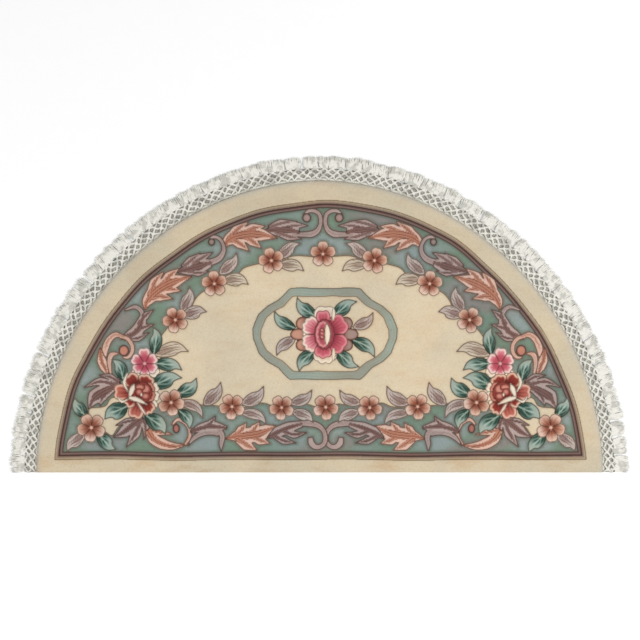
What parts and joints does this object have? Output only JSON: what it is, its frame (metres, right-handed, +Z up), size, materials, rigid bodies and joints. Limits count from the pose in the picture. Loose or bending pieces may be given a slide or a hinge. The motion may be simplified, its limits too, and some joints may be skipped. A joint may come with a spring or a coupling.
{
  "type": "half-round wool rug",
  "caption": "Half-round carved wool pile rug with a floral border, an eight-sided ring in the field and a knotted cotton fringe along the arc.",
  "frame": {"origin": "on the floor, under the middle of the rug's outline, fringe included", "axes": "+X along the straight edge, +Y from the straight edge towards the top of the arc, +Z up from the floor through the pile"},
  "size_m": [1.336, 0.687, 0.0152],
  "materials": {
    "wool_pile": "matt cut wool pile, cream ground with sage, mauve, salmon, rose and teal motifs",
    "fringe_cotton": "matt undyed cotton cord, knotted, with brushed cut ends"
  },
  "bodies": {
    "root": {"rug": "wool_pile", "fringe": "fringe_cotton"}
  },
  "joints": []
}
